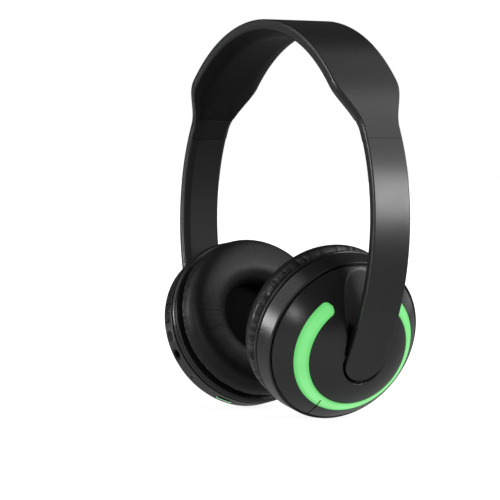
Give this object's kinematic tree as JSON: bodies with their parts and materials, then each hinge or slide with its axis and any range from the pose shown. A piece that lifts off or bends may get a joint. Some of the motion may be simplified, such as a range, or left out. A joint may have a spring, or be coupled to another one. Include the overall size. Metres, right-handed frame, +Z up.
{
  "type": "headphones",
  "caption": "Black wireless over-ear headphones with a padded headband, sliding arms, tilting ear cups and open green light rings.",
  "frame": {"origin": "on the floor plane midway between the two ear cups, under the top of the headband", "axes": "+X towards the cup without buttons, +Y towards the back, +Z up through the top of the headband"},
  "size_m": [0.175, 0.0796, 0.18],
  "materials": {
    "shell": "satin black moulded plastic",
    "dome": "satin black moulded plastic",
    "rim": "satin painted rim band",
    "leatherette": "matte black synthetic leather",
    "light": "translucent light guide, lit green",
    "steel": "spring steel",
    "circuit": "coated circuit board",
    "inner_plastic": "unpainted plastic",
    "cone": "thin film",
    "cloth": "open knit acoustic cloth",
    "foil": "foil pouch",
    "button": "matte black",
    "brass": "plain"
  },
  "bodies": {
    "headband": {"headband_shell": "shell", "headband_spring": "steel", "headband_pad": "leatherette", "end_cover_left": "shell", "end_cover_right": "shell", "headband_screws": "steel", "slide_strip_left": "steel", "slide_strip_right": "steel"},
    "arm_left": {"arm_shell_left": "shell", "arm_cover_left": "shell", "arm_knuckle_left": "inner_plastic", "detent_spring_left": "steel", "arm_screws_left": "steel"},
    "arm_right": {"arm_shell_right": "shell", "arm_cover_right": "shell", "arm_knuckle_right": "inner_plastic", "detent_spring_right": "steel", "arm_screws_right": "steel"},
    "cup_left": {"dome_left": "dome", "light_ring_left": "light", "led_board_left": "circuit", "rim_left": "rim", "baffle_left": "inner_plastic", "driver_frame_left": "inner_plastic", "magnet_left": "steel", "diaphragm_left": "cone", "acoustic_cloth_left": "cloth", "clip_ring_left": "rim", "cushion_left": "leatherette", "cup_screws_left": "steel", "hinge_pin_left": "steel", "main_board": "circuit", "switches": "inner_plastic", "audio_socket": "button", "charging_socket": "steel", "status_light": "light", "microphone": "brass"},
    "cup_right": {"dome_right": "dome", "light_ring_right": "light", "led_board_right": "circuit", "rim_right": "rim", "baffle_right": "inner_plastic", "driver_frame_right": "inner_plastic", "magnet_right": "steel", "diaphragm_right": "cone", "acoustic_cloth_right": "cloth", "clip_ring_right": "rim", "cushion_right": "leatherette", "cup_screws_right": "steel", "hinge_pin_right": "steel", "battery": "foil"},
    "button_play": {"button_play": "button"},
    "button_up": {"button_up": "button"},
    "button_down": {"button_down": "button"}
  },
  "joints": [
    {"name": "slide_left", "type": "slide", "parent": "headband", "child": "arm_left", "axis": [-0.2119, 0, -0.9773], "range_m": [0, 0.02]},
    {"name": "tilt_left", "type": "hinge", "parent": "arm_left", "child": "cup_left", "pos_m": [-0.06406, 0, 0.0301], "axis": [0, 1, 0], "range_deg": [-5, 12]},
    {"name": "slide_right", "type": "slide", "parent": "headband", "child": "arm_right", "axis": [0.2119, 0, -0.9773], "range_m": [0, 0.02]},
    {"name": "tilt_right", "type": "hinge", "parent": "arm_right", "child": "cup_right", "pos_m": [0.06406, 0, 0.0301], "axis": [0, 1, 0], "range_deg": [-12, 5]},
    {"name": "press_up", "type": "slide", "parent": "cup_left", "child": "button_up", "axis": [0.1163, 0.9367, -0.3303], "range_m": [0, 0.0005], "stiffness_N_per_m": 600, "springref_m": -0.0008},
    {"name": "press_play", "type": "slide", "parent": "cup_left", "child": "button_play", "axis": [0.0405, 0.9925, -0.115], "range_m": [0, 0.0005], "stiffness_N_per_m": 600, "springref_m": -0.0008},
    {"name": "press_down", "type": "slide", "parent": "cup_left", "child": "button_down", "axis": [-0.0376, 0.9936, 0.1068], "range_m": [0, 0.0005], "stiffness_N_per_m": 600, "springref_m": -0.0008}
  ]
}
